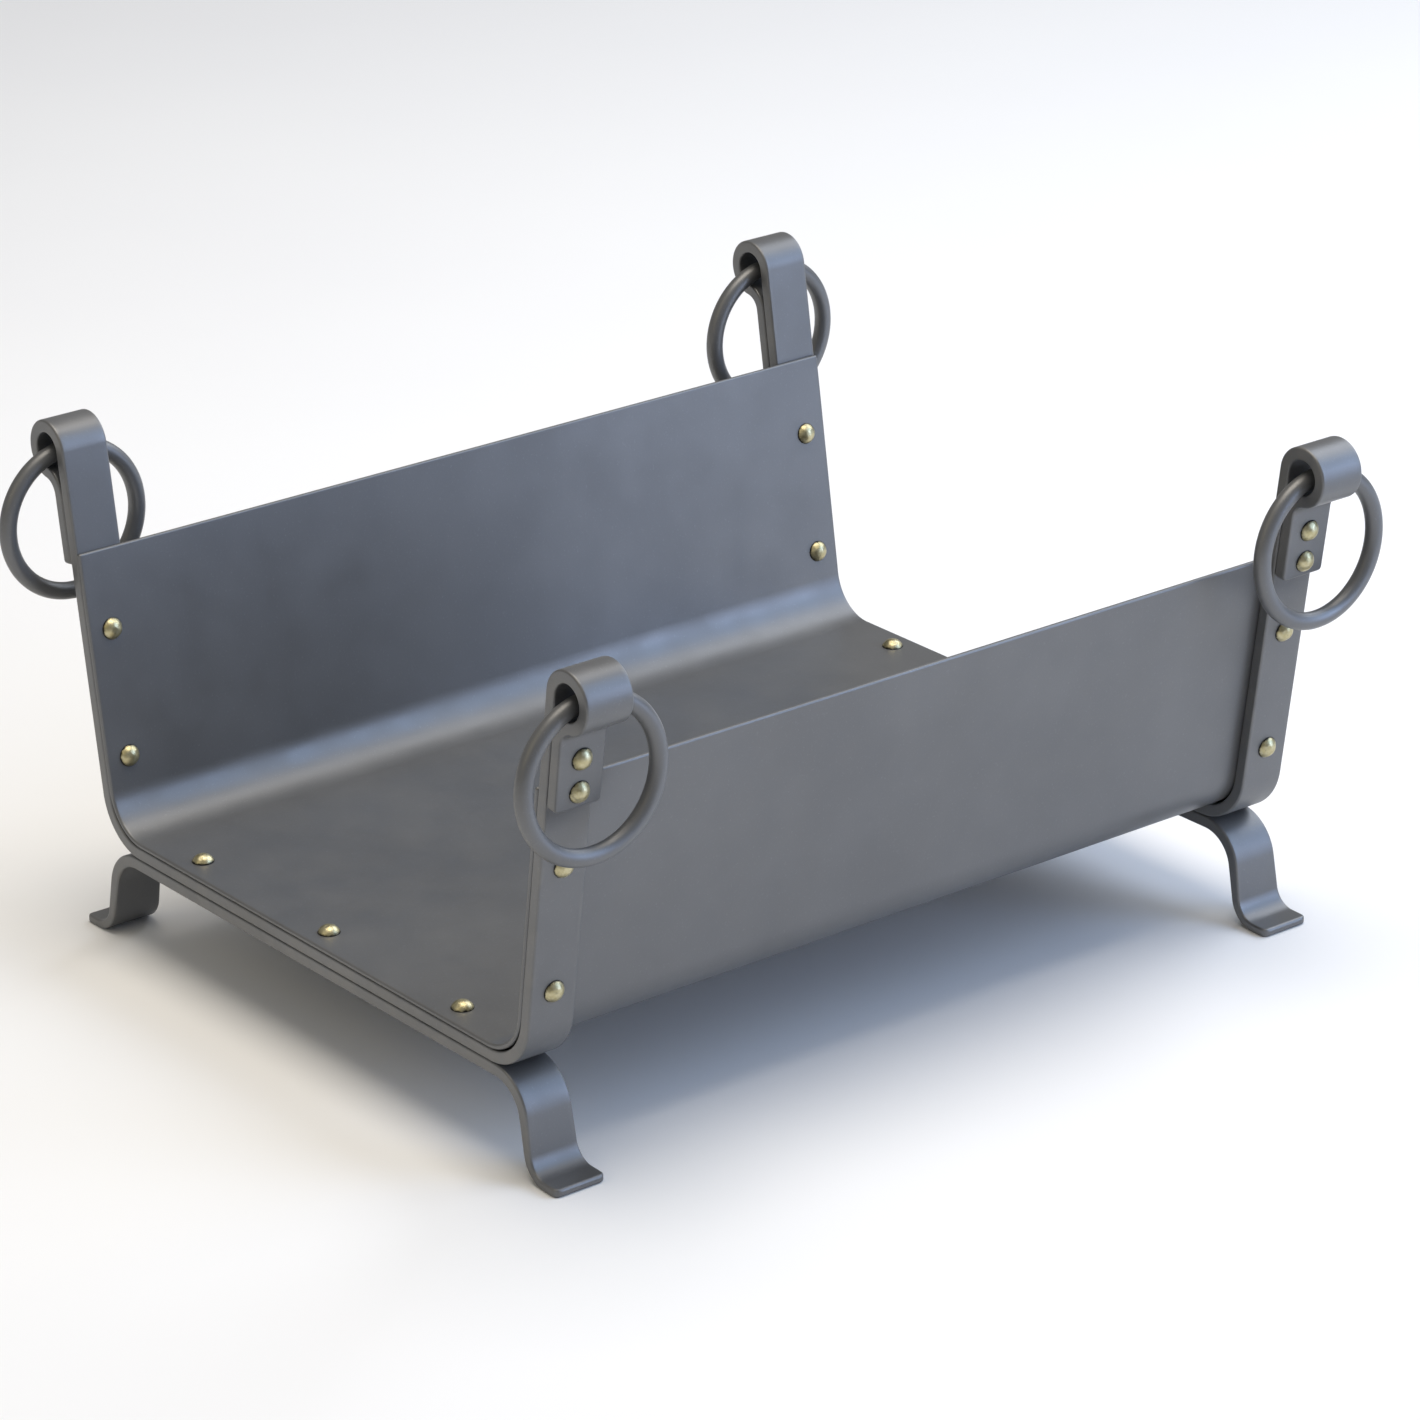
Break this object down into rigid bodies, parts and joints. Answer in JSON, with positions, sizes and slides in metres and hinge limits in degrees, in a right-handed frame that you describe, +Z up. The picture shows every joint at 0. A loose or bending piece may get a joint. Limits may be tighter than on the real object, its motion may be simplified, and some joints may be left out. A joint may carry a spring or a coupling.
{
  "type": "firewood log rack",
  "caption": "Low open log tray of bent sheet held in flat-bar hoops with rolled eyes and hanging carry rings, on splayed bar feet.",
  "frame": {"origin": "on the ground, under the middle of the rack", "axes": "+X to the right-hand side panel, +Y to the rear along the logs, +Z up"},
  "size_m": [0.4436, 0.5132, 0.2573],
  "materials": {
    "graphite_paint": "satin",
    "brass": "satin"
  },
  "bodies": {
    "rack": {"tray_sheet": "graphite_paint", "front_hoop": "graphite_paint", "rear_hoop": "graphite_paint", "front_foot_bar": "graphite_paint", "rear_foot_bar": "graphite_paint", "front_left_side_rivet_lower": "brass", "front_left_side_rivet_upper": "brass", "front_right_side_rivet_lower": "brass", "front_right_side_rivet_upper": "brass", "rear_left_side_rivet_lower": "brass", "rear_left_side_rivet_upper": "brass", "rear_right_side_rivet_lower": "brass", "rear_right_side_rivet_upper": "brass", "front_left_tab_rivet_lower": "brass", "front_left_tab_rivet_upper": "brass", "front_right_tab_rivet_lower": "brass", "front_right_tab_rivet_upper": "brass", "rear_left_tab_rivet_lower": "brass", "rear_left_tab_rivet_upper": "brass", "rear_right_tab_rivet_lower": "brass", "rear_right_tab_rivet_upper": "brass", "front_base_rivet_left": "brass", "front_base_rivet_middle": "brass", "front_base_rivet_right": "brass", "rear_base_rivet_left": "brass", "rear_base_rivet_middle": "brass", "rear_base_rivet_right": "brass"},
    "front_left_carry_ring": {"front_left_ring": "graphite_paint"},
    "front_right_carry_ring": {"front_right_ring": "graphite_paint"},
    "rear_left_carry_ring": {"rear_left_ring": "graphite_paint"},
    "rear_right_carry_ring": {"rear_right_ring": "graphite_paint"}
  },
  "joints": [
    {"name": "front_left_ring_swing", "type": "hinge", "parent": "rack", "child": "front_left_carry_ring", "pos_m": [-0.20695, -0.2158, 0.2425], "axis": [0, 1, 0], "range_deg": [-11, 325]},
    {"name": "front_right_ring_swing", "type": "hinge", "parent": "rack", "child": "front_right_carry_ring", "pos_m": [0.20695, -0.2158, 0.2425], "axis": [0, -1, 0], "range_deg": [-11, 325]},
    {"name": "rear_left_ring_swing", "type": "hinge", "parent": "rack", "child": "rear_left_carry_ring", "pos_m": [-0.20695, 0.2158, 0.2425], "axis": [0, 1, 0], "range_deg": [-11, 325]},
    {"name": "rear_right_ring_swing", "type": "hinge", "parent": "rack", "child": "rear_right_carry_ring", "pos_m": [0.20695, 0.2158, 0.2425], "axis": [0, -1, 0], "range_deg": [-11, 325]}
  ]
}
